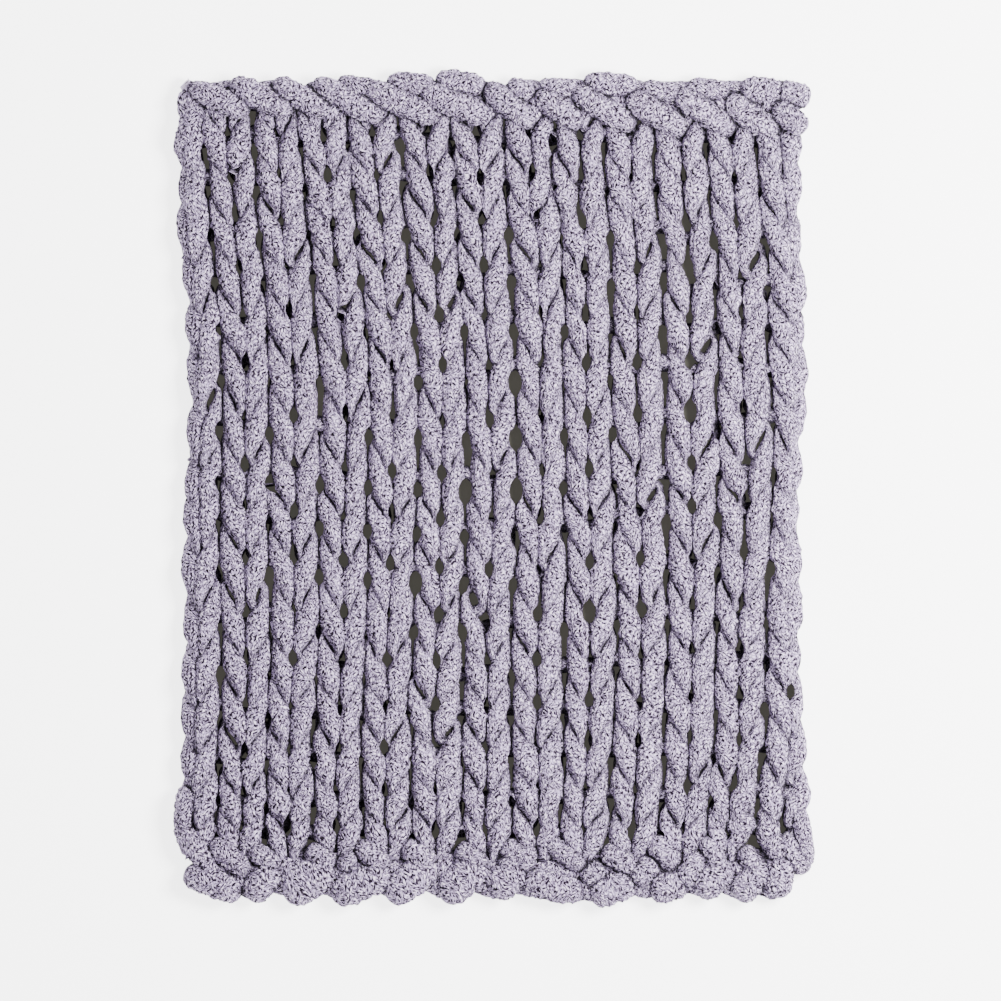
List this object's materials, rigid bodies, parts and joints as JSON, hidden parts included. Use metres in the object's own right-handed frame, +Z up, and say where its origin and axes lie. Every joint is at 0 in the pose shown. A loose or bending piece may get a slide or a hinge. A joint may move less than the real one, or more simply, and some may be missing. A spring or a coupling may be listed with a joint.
{
  "type": "chunky knit blanket",
  "caption": "Chunky knit chenille blanket lying flat, one hand-knitted panel in lavender grey with twisted edges at head and foot",
  "frame": {"origin": "middle of the flat under side of the blanket's bounding box, on the surface that it lies on", "axes": "+Z up through the thickness, +Y along the length from the cast-on foot to the bound-off head, +X across the width to the right as seen from above"},
  "size_m": [1.0028, 1.309, 0.0462],
  "materials": {
    "chenille_yarn": "soft matt chenille pile"
  },
  "bodies": {
    "root": {"blanket": "chenille_yarn"}
  },
  "joints": []
}
